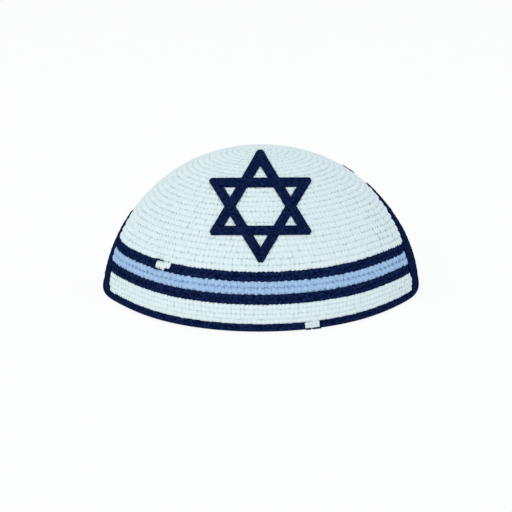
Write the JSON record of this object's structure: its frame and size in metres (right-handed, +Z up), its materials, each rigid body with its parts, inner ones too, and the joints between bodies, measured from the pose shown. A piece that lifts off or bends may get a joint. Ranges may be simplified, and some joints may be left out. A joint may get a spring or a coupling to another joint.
{
  "type": "kippah skullcap",
  "caption": "Round knitted skullcap: white dome with a navy hexagram in front, navy and light-blue rounds, pointed navy side trims and a navy edging at the open rim.",
  "frame": {"origin": "middle of the rim, on the surface that the cap rests on", "axes": "+Z up through the top of the dome, -Y towards the front with the star, +X to the right of someone who looks at the star"},
  "size_m": [0.163, 0.16, 0.0695],
  "materials": {
    "white_yarn": "matte knitted cotton",
    "blue_yarn": "matte knitted cotton",
    "navy_yarn": "matte knitted cotton"
  },
  "bodies": {
    "root": {"crown": "white_yarn", "upper_stripe": "navy_yarn", "blue_band": "blue_yarn", "lower_stripe": "navy_yarn", "white_band": "white_yarn", "rim_edging": "navy_yarn", "star": "navy_yarn", "right_side_trim": "navy_yarn", "left_side_trim": "navy_yarn", "stripe_mend": "white_yarn", "rim_mend": "white_yarn"}
  },
  "joints": []
}
